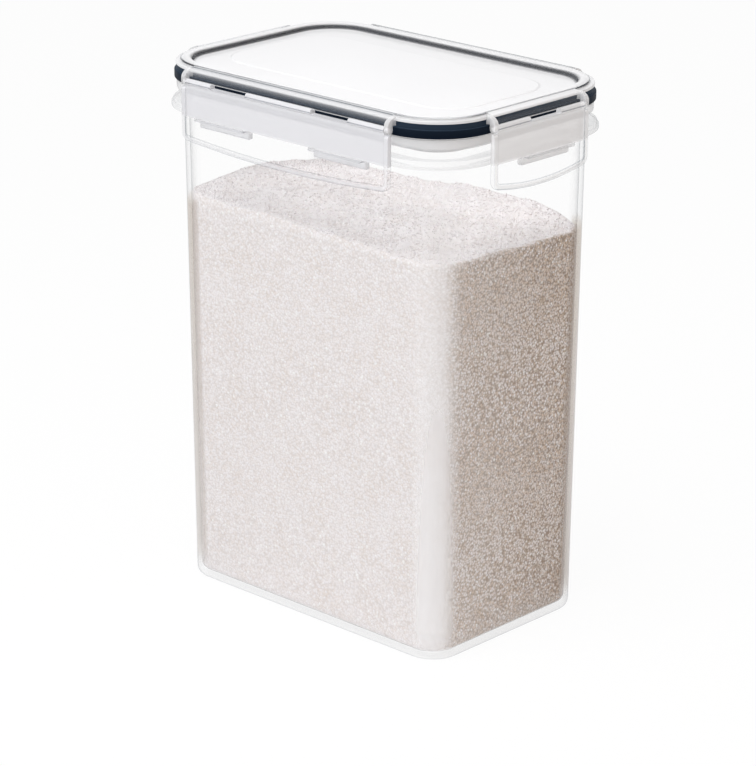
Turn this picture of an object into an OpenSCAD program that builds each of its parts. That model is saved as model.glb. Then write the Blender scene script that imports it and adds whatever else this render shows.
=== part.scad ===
// Rectangular food canister with a gasketed lid and four snap flaps.
// The canister stands on z = 0 with its long side along X; its front faces -Y.
// Sizes are in millimetres.

/* [Canister] */
// Height from the table to the top of the lid
overall_h = 206; // [150:1:260]
// Outside length of the wall at the rim
body_l = 135.8; // [120:0.1:160]
// Outside width of the wall at the rim
body_w = 86.6; // [76:0.1:110]
// Outside radius of the upright corners at the rim
body_corner_r = 14.1; // [12:0.1:18]
// How far each wall leans in from the rim to the base
draft = 2.3; // [0:0.1:4]
// Wall thickness
wall_t = 1.8; // [1.2:0.1:2.6]
// Thickness of the floor
floor_t = 2.2; // [1.5:0.1:4]
// Radius between the walls and the base
base_fillet = 4; // [2.8:0.1:5]
// Width of the foot ring under the base
foot_w = 4.5; // [3:0.1:5]
// How far the base is recessed inside the foot ring
foot_h = 0.6; // [0.3:0.1:1.5]

/* [Rim] */
// Height of the collar that the gasket seals on
collar_h = 4.2; // [3:0.1:6]
// How far the collar stands out from the wall
collar_w = 4.6; // [3.5:0.1:5]
// Height of bare wall between the collar and the latch ring
neck_h = 3.6; // [2:0.1:8]
// Height of the latch ring that the flaps hook under
ring_h = 2.9; // [2:0.1:4]
// How far the latch ring stands out from the wall
ring_w = 6.6; // [5.8:0.1:8]
// Depth of the small step round the top of the latch ring
ring_step = 0.7; // [0.3:0.1:1.2]

/* [Lid] */
// How far the lid's shoulder stands out from the wall
lid_over = 3.1; // [2.6:0.1:3.6]
// Corner radius of the lid's shoulder
lid_corner_r = 21; // [18:0.1:24]
// Height of the ridge above the lid's centre plate
ridge_h = 2; // [1.2:0.1:3]
// Width of the ridge
ridge_w = 4.8; // [4.4:0.1:6]
// Thickness of the lid's centre plate
lid_t = 1.6; // [1:0.1:2]
// Depth of the lid's lip below the top of the ridge
lip_h = 2.2; // [1.8:0.1:2.8]
// How far the lip stands out beyond the shoulder
lip_w = 1.7; // [1.2:0.1:2.2]
// Thickness of plastic over the gasket's tongue
ridge_t = 1.2; // [0.8:0.1:1.6]
// Depth of the plug below the rim
plug_depth = 6; // [3:0.1:12]
// Thickness of the plug's wall
plug_t = 1.5; // [1:0.1:2.5]
// Clearance between the plug and the mouth
plug_gap = 0.25; // [0.15:0.05:0.6]
// Distance from the lid's ends to the raised panel
panel_inset_l = 12; // [9:0.1:20]
// Distance from the lid's sides to the raised panel
panel_inset_w = 19; // [9:0.1:24]
// Corner radius of the raised panel
panel_r = 14; // [8:0.1:18]
// Height of the raised panel
panel_h = 0.4; // [0.2:0.1:0.8]

/* [Gasket] */
// Height of the gasket's lower band
band_low_h = 3; // [2:0.1:4]
// Height of the gasket's upper band
band_high_h = 2.1; // [1.5:0.1:3]
// How far the lower band stands out beyond the lid's shoulder
band_out = 2.3; // [1.6:0.1:2.6]
// How far the upper band is set back from the lower one
band_step = 0.8; // [0.4:0.1:1.2]
// Width of the tongue that sits in the ridge
tongue_w = 1.5; // [1:0.1:1.7]
// Gap between the gasket and the rim, taken up when the flaps pull down
seal_gap = 0.1; // [0.05:0.05:0.5]

/* [Hinges] */
// Depth of the hood's lower edge below the top of the lid
hood_drop = 3.8; // [3:0.1:5]
// Thickness of the hood over each hinge
hood_t = 1.1; // [0.8:0.1:1.5]
// Gap between the hood's edge and the hinge barrel
hood_gap = 0.2; // [0.15:0.05:0.5]
// Radius of the flap's hinge barrel
barrel_r = 1.25; // [1.1:0.05:1.4]
// Radius of the pins at the barrel's ends
pin_r = 0.8; // [0.6:0.05:0.9]
// Length of each pin
pin_l = 1.8; // [1.2:0.1:2]
// Running clearance of a pin in its ear
pin_gap = 0.05; // [0.02:0.01:0.1]
// Width of each hinge ear
ear_w = 2; // [1.6:0.1:3]
// Wall of plastic round the bore of an ear
ear_t = 0.75; // [0.6:0.05:0.9]
// Gap between the barrel's ends and the ears
ear_gap = 0.25; // [0.15:0.05:0.5]

/* [Flaps] */
// Length of the front and back flaps
flap_l = 103.4; // [90:0.1:110]
// Length of the end flaps
end_flap_l = 50.6; // [44:0.1:56]
// Thickness of a flap's plate
plate_t = 1.3; // [1:0.1:1.6]
// Gap between the latch ring and a closed flap
flap_gap = 0.6; // [0.4:0.1:1]
// How far the flap's lower corners hang below the latch ring
lip_drop = 8.9; // [8:0.1:14]
// How much lower the middle of the flap's edge hangs than its corners
edge_bulge = 2.4; // [0.5:0.1:4]
// Radius of the flap's lower corners
flap_corner_r = 3.2; // [2.8:0.1:5]
// Width of the rib round the flap's edge
rib_w = 2.1; // [1.5:0.1:2.6]
// Length of each slot in the hinge line of the front and back flaps
slot_l = 18; // [10:0.1:20]
// Half the distance between the two slots of a front or back flap
slot_x = 25.4; // [22:0.1:30]
// How far the pair of slots sits off the middle of a front or back flap
slot_shift = 2.1; // [-4:0.1:4]
// Length of the slot in the hinge line of the end flaps
end_slot_l = 16.2; // [8:0.1:20]
// How far that slot sits off the middle of an end flap
end_slot_shift = -2; // [-4:0.1:4]
// Depth of the slots below the hinge axis
slot_drop = 0.5; // [0.2:0.1:0.7]

/* [Hooks] */
// Length of each hook
hook_l = 25.5; // [16:0.1:30]
// Half the distance between the two hooks of a front or back flap
hook_x = 29.1; // [24:0.1:31]
// How far the pair of hooks sits off the middle of a front or back flap
hook_shift = 5.2; // [-6:0.1:6]
// How far the hook of an end flap sits off the flap's middle
end_hook_shift = -7.5; // [-9:0.1:9]
// How far each hook reaches under the latch ring
hook_reach = 4.5; // [3:0.1:5.2]
// Thickness of the hook's shelf
shelf_t = 1.6; // [1.2:0.1:2.4]
// Height of the hook's inner block
block_h = 4.5; // [3:0.1:5.5]
// Thickness of the hook's inner block
block_t = 2.3; // [1.5:0.1:2.8]
// Gap between the hooks and the latch ring
hook_gap = 0.15; // [0.1:0.05:0.4]

/* [Hidden] */
$fn = 64;
arc_steps = 6;
cut = 1;
clear_plastic = [0.92, 0.94, 0.96, 0.45];
navy_silicone = "#152233";

// Heights, worked down from the top of the lid.
lip_z = overall_h - lip_h;
plate_top_z = overall_h - ridge_h;
plate_low_z = plate_top_z - lid_t;
tongue_z = overall_h - ridge_t;
band_step_z = lip_z - band_high_h;
gasket_z = band_step_z - band_low_h;
rim_z = gasket_z - seal_gap;
collar_z = rim_z - collar_h;
ring_top_z = collar_z - neck_h;
ring_z = ring_top_z - ring_h;
floor_z = foot_h + floor_t;
plug_z = rim_z - plug_depth;

// Corner centres of the canister's wall and of the lid's shoulder.
body_cx = body_l / 2 - body_corner_r;
body_cy = body_w / 2 - body_corner_r;
lid_cx = body_l / 2 + lid_over - lid_corner_r;
lid_cy = body_w / 2 + lid_over - lid_corner_r;
shoulder_x = lid_cx + lid_corner_r;
shoulder_y = lid_cy + lid_corner_r;

// Distances out from the lid's shoulder.
wall_u = -lid_over;
collar_u = collar_w - lid_over;
ring_u = ring_w - lid_over;
flange_root_u = wall_u - wall_t * 0.8;
flap_in_u = max(ring_u + flap_gap, band_out + flap_gap + barrel_r - plate_t / 2);
hinge_u = flap_in_u + plate_t / 2;
hood_u = hinge_u + barrel_r;
tongue_out_u = -0.8;
tongue_in_u = tongue_out_u - tongue_w;
hook_in_u = ring_u - hook_reach;

// Hinges and flaps.
hood_z = overall_h - hood_drop;
hinge_z = hood_z - hood_gap - barrel_r;
bore_r = pin_r + pin_gap;
ear_r = bore_r + ear_t;
ear_clear = ear_r + 0.4;
rib_start = barrel_r * 2;
flap_low_z = ring_z - lip_drop;
hook_z = ring_z - hook_gap;
plug_r = wall_r(plug_z) - wall_t - plug_gap;
tongue_gap = 0.05;

// Outside corner radius of the leaning wall at height z.
function wall_r(z) = body_corner_r - draft * (1 - z / rim_z);

// Points of an arc round [x, y] from angle a to angle b.
function arc(x, y, r, a, b, steps = arc_steps) =
    [for (i = [0 : steps]) let (t = a + (b - a) * i / steps) [x + r * cos(t), y + r * sin(t)]];

// Carries a profile of [distance out from the corner centre, height] round a
// rounded rectangle whose corner centres lie at +-cx, +-cy.
module carried_round(cx, cy, profile) {
    for (mx = [0, 1], my = [0, 1])
        mirror([mx, 0, 0]) mirror([0, my, 0])
            translate([cx, cy, 0]) rotate_extrude(angle = 90) polygon(profile);
    for (m = [0, 1]) {
        mirror([m, 0, 0]) translate([cx, cy, 0])
            rotate([90, 0, 0]) linear_extrude(2 * cy) polygon(profile);
        mirror([0, m, 0]) translate([-cx, cy, 0])
            rotate([90, 0, 90]) linear_extrude(2 * cx) polygon(profile);
    }
}

// The same, filled across the middle; the profile starts on the corner's axis.
module filled_block(cx, cy, profile, z0, z1) {
    carried_round(cx, cy, profile);
    translate([-cx, -cy, z0]) cube([2 * cx, 2 * cy, z1 - z0]);
}

// A flat plate with rounded corners.
module rounded_plate(cx, cy, r, z0, z1) {
    translate([0, 0, z0]) linear_extrude(z1 - z0) {
        square([2 * (cx + r), 2 * cy], center = true);
        square([2 * cx, 2 * (cy + r)], center = true);
        for (sx = [-1, 1], sy = [-1, 1]) translate([sx * cx, sy * cy]) circle(r);
    }
}

// The outside or inside of the leaning wall, with a rounded bottom edge.
module wall_block(inset, fillet, z0, z1) {
    r_low = wall_r(z0 + fillet) - inset;
    profile = concat(
        [[0, z0]],
        arc(r_low - fillet, z0 + fillet, fillet, -90, 0),
        [[wall_r(z1) - inset, z1], [0, z1]]
    );
    filled_block(body_cx, body_cy, profile, z0, z1);
}

// A flange round the wall, from just inside the wall out to u.
module flange(u, z0, z1, step_u, step_z, soft) {
    root = lid_corner_r + flange_root_u;
    out = lid_corner_r + u;
    profile = concat(
        [[root, z0]],
        arc(out - soft, z0 + soft, soft, -90, 0, 3),
        [[out, step_z], [out - step_u, step_z], [out - step_u, z1], [root, z1]]
    );
    carried_round(lid_cx, lid_cy, profile);
}

module container() {
    color(clear_plastic) difference() {
        union() {
            wall_block(0, base_fillet, 0, rim_z);
            flange(collar_u, collar_z, rim_z, 0.3, rim_z - 0.5, 1.2);
            flange(ring_u, ring_z, ring_top_z, ring_step, ring_z + ring_h * 0.55, 0.3);
        }
        wall_block(wall_t, base_fillet - wall_t, floor_z, rim_z + cut);
        rounded_plate(body_cx, body_cy, wall_r(0) - base_fillet - foot_w, -cut, foot_h);
    }
}

// Turns local [along the side, out from the shoulder, up] to one side of the lid.
module at_side(side) {
    angle = side == "back" ? 0 : side == "left" ? 90 : side == "front" ? 180 : 270;
    reach = side == "front" || side == "back" ? shoulder_y : shoulder_x;
    rotate([0, 0, angle]) translate([0, reach, 0]) children();
}

function side_l(side) = side == "front" || side == "back" ? flap_l : end_flap_l;

// An extrusion of a [u, z] profile along a side, between two places on it.
module along_side(x0, x1, profile) {
    translate([x0, 0, 0]) rotate([90, 0, 90]) linear_extrude(x1 - x0) polygon(profile);
}

// The ridge round the lid, with the lip outside it and the channel under it.
ridge_outline = concat(
    [[-ridge_w - 0.5, plate_low_z], [-ridge_w - 0.5, plate_top_z], [-ridge_w, plate_top_z + 0.1]],
    arc(-ridge_w + 1.9, overall_h - 1.5, 1.5, 165, 90, 4),
    arc(-1, overall_h - 1, 1, 90, 20, 3),
    arc(lip_w - 1, lip_z + 0.2, 1, 60, 0, 3),
    [
        [lip_w, lip_z],
        [tongue_out_u, lip_z],
        [tongue_out_u, tongue_z],
        [tongue_in_u, tongue_z],
        [tongue_in_u, lip_z],
        [tongue_in_u - 0.6, lip_z],
        [tongue_in_u - 0.6, plate_low_z]
    ]
);

// A quarter ellipse from the shoulder down to the hood's lower edge.
function hood_arc(inset, a, b, steps = 9) = [
    for (i = [0 : steps]) let (t = a + (b - a) * i / steps)
        [(hood_u - inset) * sin(t), hood_z + (overall_h - 0.15 - hood_z - inset) * cos(t)]
];

module hinge_hood(side) {
    half = side_l(side) / 2;
    shell = concat(hood_arc(0, 0, 90), hood_arc(hood_t, 90, 0), [[-0.6, tongue_z + 0.1], [-0.6, overall_h - 0.3]]);
    web_u = hinge_u - ear_r;
    web = concat([[lip_w + 0.1, hood_z]], [[lip_w + 0.1, overall_h - 1.6]], hood_arc(0.1, 25, 90));
    knuckle = [
        [web_u, hinge_z], [web_u, hood_z + 0.2], [hood_u - 0.15, hood_z + 0.2], [hood_u - 0.15, hinge_z]
    ];
    at_side(side) {
        along_side(-half, half, shell);
        difference() {
            for (x0 = [-half, half - ear_w]) {
                along_side(x0, x0 + ear_w, web);
                along_side(x0, x0 + ear_w, knuckle);
                translate([x0, hinge_u, hinge_z]) rotate([0, 90, 0]) cylinder(r = ear_r, h = ear_w);
            }
            translate([-half - cut, hinge_u, hinge_z]) rotate([0, 90, 0])
                cylinder(r = bore_r, h = 2 * (half + cut));
        }
    }
}

module lid() {
    plate_r = lid_corner_r - ridge_w;
    ridge = [for (p = ridge_outline) [lid_corner_r + p[0], p[1]]];
    color(clear_plastic) {
        rounded_plate(lid_cx, lid_cy, plate_r, plate_low_z, plate_top_z);
        carried_round(lid_cx, lid_cy, ridge);
        difference() {
            rounded_plate(body_cx, body_cy, plug_r, plug_z, plate_top_z);
            rounded_plate(body_cx, body_cy, plug_r - plug_t, plug_z - cut, plate_low_z);
        }
        rounded_plate(
            shoulder_x - panel_inset_l - panel_r, shoulder_y - panel_inset_w - panel_r, panel_r,
            plate_top_z - cut, plate_top_z + panel_h
        );
        for (side = ["front", "back", "left", "right"]) hinge_hood(side);
    }
}

module gasket() {
    step_u = band_out - band_step;
    root = lid_corner_r - ridge_w - 4;
    low_band = [
        [root, gasket_z], [lid_corner_r + band_out - 0.3, gasket_z],
        [lid_corner_r + band_out, gasket_z + 0.3], [lid_corner_r + band_out, band_step_z - 0.25],
        [lid_corner_r + band_out - 0.25, band_step_z], [root, band_step_z]
    ];
    high_band = [
        [root, band_step_z], [lid_corner_r + step_u, band_step_z], [lid_corner_r + step_u, lip_z],
        [lid_corner_r + tongue_in_u - 0.6 + tongue_gap, lip_z],
        [lid_corner_r + tongue_in_u - 0.6 + tongue_gap, plate_low_z], [root, plate_low_z]
    ];
    tongue = [
        [lid_corner_r + tongue_in_u + tongue_gap, band_step_z],
        [lid_corner_r + tongue_out_u - tongue_gap, band_step_z],
        [lid_corner_r + tongue_out_u - tongue_gap, tongue_z],
        [lid_corner_r + tongue_in_u + tongue_gap, tongue_z]
    ];
    color(navy_silicone) difference() {
        union() {
            carried_round(lid_cx, lid_cy, low_band);
            carried_round(lid_cx, lid_cy, high_band);
            carried_round(lid_cx, lid_cy, tongue);
        }
        rounded_plate(body_cx, body_cy, plug_r + tongue_gap, gasket_z - cut, overall_h);
    }
}

// The outline of a flap's plate as [along, height], from its top corners down.
function flap_outline(half, top_z, low_z, r) = concat(
    [[half, top_z]],
    arc(half - r, low_z + r - edge_bulge * 0.1, r, 0, -80),
    [for (i = [1 : 11]) let (s = 1 - i / 6) [s * (half - r), low_z - edge_bulge * (1 - s * s * 0.9)]],
    arc(-half + r, low_z + r - edge_bulge * 0.1, r, -100, -180),
    [[-half, top_z]]
);

// A plate standing along the side, with its outline in [along, height].
module standing(u0, u1, outline) {
    translate([0, u1, 0]) rotate([90, 0, 0]) linear_extrude(u1 - u0) polygon(outline);
}

// One hook: a shelf under the latch ring with a block at its inner end.
module hook(x) {
    translate([x - hook_l / 2, hook_in_u, hook_z - shelf_t])
        cube([hook_l, flap_in_u - hook_in_u + plate_t / 2, shelf_t]);
    translate([x - hook_l / 2, hook_in_u, hook_z - block_h])
        cube([hook_l, block_t, block_h]);
}

module flap(side) {
    half = side_l(side) / 2;
    barrel_half = half - ear_w - ear_gap;
    is_long = side == "front" || side == "back";
    slots = is_long ? [slot_shift - slot_x, slot_shift + slot_x] : [end_slot_shift];
    slot_w = is_long ? slot_l : end_slot_l;
    hooks = is_long ? [hook_shift - hook_x, hook_shift + hook_x] : [end_hook_shift];
    color(clear_plastic) at_side(side) difference() {
        union() {
            standing(flap_in_u, flap_in_u + plate_t, flap_outline(half, hinge_z - ear_clear, flap_low_z, flap_corner_r));
            translate([-barrel_half, flap_in_u, hinge_z - ear_clear - cut])
                cube([2 * barrel_half, plate_t, ear_clear + cut]);
            difference() {
                standing(flap_in_u, hood_u, flap_outline(half, hinge_z - rib_start, flap_low_z, flap_corner_r));
                standing(
                    flap_in_u - cut, hood_u + cut,
                    flap_outline(half - rib_w, hinge_z, flap_low_z + rib_w, max(flap_corner_r - rib_w, 0.6))
                );
            }
            translate([-barrel_half, hinge_u, hinge_z]) rotate([0, 90, 0])
                cylinder(r = barrel_r, h = 2 * barrel_half);
            translate([-barrel_half - pin_l, hinge_u, hinge_z]) rotate([0, 90, 0])
                cylinder(r = pin_r, h = 2 * (barrel_half + pin_l));
            for (x = hooks) hook(x);
        }
        for (x = slots)
            translate([x - slot_w / 2, hinge_u - barrel_r - cut, hinge_z - slot_drop])
                cube([slot_w, 2 * (barrel_r + cut), slot_drop + barrel_r + cut]);
    }
}

module flap_front() flap("front");
module flap_back() flap("back");
module flap_left() flap("left");
module flap_right() flap("right");

container();
lid();
gasket();
flap_front();
flap_back();
flap_left();
flap_right();
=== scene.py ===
"""Food canister: a clear rectangular box with a gasketed lid, four snap flaps and a fill of white grain.

Lengths below are in millimetres unless a name says otherwise; meshes are made in metres.
"""

import math
from itertools import combinations

import bpy
import numpy as np
from bpy.props import FloatProperty, FloatVectorProperty, IntProperty, PointerProperty, StringProperty
from mathutils import Matrix, Vector


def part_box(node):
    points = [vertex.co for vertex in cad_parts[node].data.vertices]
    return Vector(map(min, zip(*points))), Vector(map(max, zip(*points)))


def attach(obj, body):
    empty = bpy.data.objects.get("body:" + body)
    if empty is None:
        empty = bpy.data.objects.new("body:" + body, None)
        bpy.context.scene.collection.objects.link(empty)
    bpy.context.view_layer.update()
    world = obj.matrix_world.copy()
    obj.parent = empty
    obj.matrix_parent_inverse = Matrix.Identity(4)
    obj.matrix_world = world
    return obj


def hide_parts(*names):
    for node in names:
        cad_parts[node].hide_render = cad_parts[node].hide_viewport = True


bl_info = {
    "name": "Food canister",
    "version": (1, 0, 0),
    "blender": (4, 5, 0),
    "location": "View3D > Sidebar > Canister",
    "description": "Builds a clear canister, its gasketed lid, four snap flaps and the grain inside",
    "category": "Add Mesh",
}

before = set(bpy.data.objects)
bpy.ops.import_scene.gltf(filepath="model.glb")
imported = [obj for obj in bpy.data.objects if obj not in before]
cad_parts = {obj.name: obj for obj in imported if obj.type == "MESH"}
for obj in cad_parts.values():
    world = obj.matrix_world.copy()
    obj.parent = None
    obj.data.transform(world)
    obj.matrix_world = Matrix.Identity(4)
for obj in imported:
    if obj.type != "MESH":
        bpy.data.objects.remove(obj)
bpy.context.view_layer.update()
MM = 0.001
SIDES = ("front", "back", "left", "right")
SIDE_TURN = {"back": 0.0, "left": 90.0, "front": 180.0, "right": 270.0}

# Small fixed sizes, in millimetres.
FOOT_R, FOOT_H = 3.3, 0.6  # corner radius and depth of the recess inside the foot ring
RING_STEP = 0.7  # depth of the step round the top of the latch ring
HOOD_PAST_WALL = 9.1  # how far a hinge hood stands out past the wall
PLATE_LOW = 202.4  # height of the underside of the lid's centre plate
PANEL_H, PANEL_IN_L, PANEL_IN_W = 0.4, 12.0, 19.0  # the raised panel's height, and how far it lies in from the edges
PLUG_WALL, HOOD_T = 1.5, 1.1  # thickness of the plug's wall and of a hinge hood
EAR_W, EAR_R = 2.0, 1.35  # width of the ear at each end of a hood, and its radius round the hinge pin
TONGUE_IN, TONGUE_OUT, TONGUE_TOP = 2.25, 0.85, 204.75  # the gasket's tongue: in from the shoulder, and its top
TONGUE_ROOM = 0.05  # between the tongue and its groove in the lid
GASKET_GAP, GRAIN_GAP = 0.03, 0.15  # between the gasket and the lid, and between the fill and the wall
# Slots and hooks of a long flap (True) and of an end flap: their middles along it, and half the length of one.
SLOTS = {True: ((-23.3, 27.5), 9.0), False: ((-2.0,), 8.1)}
HOOKS = {True: ((-23.9, 34.3), 12.75), False: ((-7.5,), 12.75)}
BARREL_IN, PIN_R, PIN_L = 2.25, 0.8, 1.8  # from a flap's end in to its barrel, and the hinge pins
AXIS_OUT, AXIS_Z, BARREL_R = 4.75, 200.75, 1.25  # the hinge axis, out and up, and the barrel round it
NECK, SLOT_DROP = 2.1, 0.5  # under the hinge axis: the neck's end and the floor of the slots
HOOK_TOP, HOOK_IN = 187.75, 1.0  # a hook: its height, and how far it reaches in past the shoulder
SHELF_T, BLOCK_H, BLOCK_T = 1.6, 4.5, 2.3  # a hook's shelf and its block


def length(name, description, mm):
    """A length property; its default is given in millimetres."""
    return FloatProperty(name=name, description=description, default=mm * MM, min=0.0, precision=5, unit="LENGTH")


def angle(name, description, degrees):
    """An angle property; its default is given in degrees."""
    return FloatProperty(name=name, description=description, default=math.radians(degrees), subtype="ANGLE")


def share(name, description, default):
    """A property between 0 and 1."""
    return FloatProperty(name=name, description=description, default=default, min=0.0, max=1.0, subtype="FACTOR")


def hex_colour(name, description, default):
    """A colour property, written as an sRGB hex value."""
    return StringProperty(name=name, description=description, default=default)


class CanisterSizes(bpy.types.PropertyGroup):
    """Sizes and colours of the box."""

    corner_r: length("Corner radius", "Outside radius of the upright corners at the rim", 14.1)
    draft: length("Draft", "How far each wall leans in from rim to base", 2.3)
    wall: length("Wall", "Wall thickness", 1.8)
    floor_top: length("Floor", "Height of the inside of the floor", 2.8)
    base_fillet: length("Base fillet", "Radius between the walls and the base", 4.0)
    ring_low: length("Ring underside", "Height of the latch ring's underside", 187.9)
    ring_h: length("Ring height", "Height of the latch ring", 2.9)
    ring_out: length("Ring width", "How far the latch ring stands out past the lid's shoulder", 3.5)
    collar_low: length("Collar underside", "Height of the collar's underside", 194.4)
    collar_out: length("Collar width", "How far the collar stands out past the lid's shoulder", 1.5)
    rim: length("Rim", "Height of the rim", 198.6)
    tint: hex_colour("Tint", "Colour of light that has passed the clear plastic", "#FFFFFF")
    haze: hex_colour("Haze", "Colour of the thick, light-scattering edges", "#F4F4F6")


class LidSizes(bpy.types.PropertyGroup):
    """Sizes and colours of the lid and its hinge hoods."""

    corner_r: length("Shoulder radius", "Corner radius of the lid's shoulder", 21.0)
    top: length("Top", "Height of the ridge round the lid", 206.0)
    plate_top: length("Plate top", "Height of the centre plate's top", 204.0)
    panel_r: length("Panel radius", "Corner radius of the raised panel", 14.0)
    ridge_w: length("Ridge width", "Width of the ridge", 4.8)
    lip_low: length("Lip underside", "Height of the underside of the lip", 203.8)
    lip_out: length("Lip width", "How far the lip stands out past the shoulder", 1.7)
    plug_low: length("Plug end", "Height of the lower end of the plug", 192.6)
    plug_r: length("Plug radius", "Outside corner radius of the plug", 11.98)
    hood_out: length("Hood reach", "How far a hinge hood stands out past the shoulder", 6.0)
    hood_low: length("Hood edge", "Height of a hinge hood's lower edge", 202.2)
    haze: hex_colour("Haze", "Colour of the light-scattering parts", "#EAEAEC")


class GasketSizes(bpy.types.PropertyGroup):
    """Sizes and colours of the silicone seal."""

    low: length("Underside", "Height of the gasket's underside", 198.7)
    step: length("Step", "Height of the step between its two bands", 201.7)
    low_out: length("Lower band", "How far the lower band stands out past the shoulder", 2.3)
    high_out: length("Upper band", "How far the upper band stands out past the shoulder", 1.5)
    navy: hex_colour("Navy", "Colour of the silicone", "#07111E")
    # Painted light as well: this colour is mixed in by the dust bloom under a painted sheen where the surface turns
    # from the eye, and by the veil's painted highlights.
    sheen: hex_colour("Bloom", "Colour of the fine bloom on the silicone", "#3C4B5C")


class FlapSizes(bpy.types.PropertyGroup):
    """Sizes and colours of the four snap flaps; out is measured from the lid's shoulder."""

    long_half: length("Half length, long", "Half the length of the front and back flaps", 51.7)
    short_half: length("Half length, short", "Half the length of the end flaps", 25.3)
    plate_in: length("Inner face", "Distance out to a flap's inner face", 4.1)
    plate_t: length("Plate", "Thickness of a flap's plate", 1.3)
    rib_out: length("Rib face", "Distance out to the rib's face", 6.0)
    rib_w: length("Rib width", "Width of the rib round the flap's edge", 2.1)
    low: length("Lower corners", "Height of a flap's lower corners", 179.0)
    bulge: length("Bulge", "How much lower the middle of the edge hangs", 2.4)
    corner_r: length("Corner radius", "Radius of a flap's lower corners", 3.2)
    # Painted light: the end flaps' satin is paler and thinner than the long flaps' only to make up for the weaker light
    # on the end in view.
    haze: hex_colour("Haze, long", "Colour of the satin upper part of a long flap", "#E3E3E7")
    haze_short: hex_colour("Haze, short", "Colour of the satin upper part of an end flap", "#F6F6F8")
    satin: share("Satin, long", "How much a long flap's satin upper part scatters light", 0.8)
    satin_short: share("Satin, short", "How much an end flap's satin upper part scatters light", 0.62)


class GrainSizes(bpy.types.PropertyGroup):
    """Sizes and colours of the fill."""

    level: length("Level", "Mean height of the fill", 152.6)
    grain: length("Grain", "Size of one grain", 0.85)
    loose: IntProperty(name="Loose grains", description="Grains lying on top", default=8400, min=0)
    seed: IntProperty(name="Seed", description="Seed of the loose grains", default=11)
    pale: hex_colour("Pale grain", "Colour of the palest grains", "#F7F4F6")
    # Painted shade: the colour of the grain on the side in shade; random patches of it tint the rest.
    warm: hex_colour("Warm grain", "Colour of the warmest grains", "#D8C4B2")
    # Painted shade: the colour of the shade between the grains.
    gaps: hex_colour("Gaps", "Colour between the grains", "#8E7864")


class StudioSettings(bpy.types.PropertyGroup):
    """Camera, lamps and floor."""

    azimuth: angle("Azimuth", "Camera azimuth from the front", 43.25)
    elevation: angle("Elevation", "Camera elevation", 19.38)
    roll: angle("Roll", "Camera roll", 0.21)
    distance: length("Distance", "Distance from the camera to its aim", 1196.7)
    aim: FloatVectorProperty(
        name="Aim", description="Point that the camera looks at", default=(-0.0011, -0.0007, 0.0833),
        precision=5, subtype="XYZ", unit="LENGTH",
    )
    lens: FloatProperty(name="Lens", description="Focal length in millimetres on a 36 mm frame", default=148.8)
    key: FloatProperty(name="Key", description="Power of the key lamp", default=8.6, unit="POWER")
    fill: FloatProperty(name="Fill", description="Power of the lamp on the right", default=0.85, unit="POWER")
    ambient: share("Ambient", "Strength of the soft light from all round", 0.37)
    floor_light: share("Floor light", "How much of the floor's white is its own", 0.95)
    floor: hex_colour("Floor", "Colour of the floor", "#FFFFFF")
    warm_light: hex_colour("Warm light", "Colour of the lamp on the right", "#FFDDBC")


GROUPS = {
    "canister_box": CanisterSizes,
    "canister_lid": LidSizes,
    "canister_gasket": GasketSizes,
    "canister_flaps": FlapSizes,
    "canister_grain": GrainSizes,
    "canister_studio": StudioSettings,
}


class Millimetres:
    """Reads a property group's lengths in millimetres and its other values as they are."""

    def __init__(self, group):
        for key, item in group.bl_rna.properties.items():
            if item.type in ("FLOAT", "INT", "STRING") and key != "name":
                value = getattr(group, key)
                if item.type == "FLOAT" and item.unit == "LENGTH" and not item.is_array:
                    value = value / MM
                setattr(self, key, value)


def sizes(context):
    """The sizes of the box and the lid; the packed container and lid say where the wall and the shoulder stand."""
    box = Millimetres(context.scene.canister_box)
    lid = Millimetres(context.scene.canister_lid)
    low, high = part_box("container")
    lid_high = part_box("lid")[1]
    over = HOOD_PAST_WALL - box.ring_out - (lid_high.x - high.x) / MM
    rim = [(high[i] - low[i]) / 2 / MM - box.ring_out - over for i in (0, 1)]
    box.spine = [half - box.corner_r for half in rim]
    lid.shoulder = [half + over for half in rim]
    lid.spine = [half - lid.corner_r for half in lid.shoulder]
    return box, lid


# --- Shapes ---


def eased(points, radii, closed=True, steps=3):
    """A polygon with its corners eased.

    Corner p becomes the quadratic curve (1-t)^2 a + 2t(1-t) p + t^2 b, where a and b lie one radius back and ahead
    along its two edges. One more point beyond each end of the curve keeps the flats beside it flat. Columns after
    the second are carried along with the points.
    """
    p = np.asarray(points, float)
    back = np.roll(p, 1, 0) - p
    ahead = np.roll(p, -1, 0) - p
    back_l = reach(back)
    ahead_l = reach(ahead)
    r = np.minimum(np.broadcast_to(np.asarray(radii, float), (len(p),)), 0.42 * np.minimum(back_l, ahead_l))
    a = p + back * (r / back_l)[:, None]
    b = p + ahead * (r / ahead_l)[:, None]
    t = np.linspace(0.0, 1.0, steps + 1)[None, :, None]
    curve = (1 - t) ** 2 * a[:, None] + 2 * t * (1 - t) * p[:, None] + t**2 * b[:, None]
    before = p + back * (1.15 * r / back_l)[:, None]
    after = p + ahead * (1.15 * r / ahead_l)[:, None]
    groups = np.concatenate([before[:, None], curve, after[:, None]], 1)
    if closed:
        return groups.reshape(-1, p.shape[1])
    inner = groups[1:-1].reshape(-1, p.shape[1])
    return np.concatenate([p[:1], inner, p[-1:]])


def reach(steps):
    """Length of each step between points [a, b, ...] or between rows [cx, cy, r, z, ...]."""
    if steps.shape[1] >= 5:
        return np.maximum(np.hypot(steps[:, 0] + steps[:, 2], steps[:, 3]), 1e-6)
    return np.maximum(np.hypot(steps[:, 0], steps[:, 1]), 1e-6)


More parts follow.
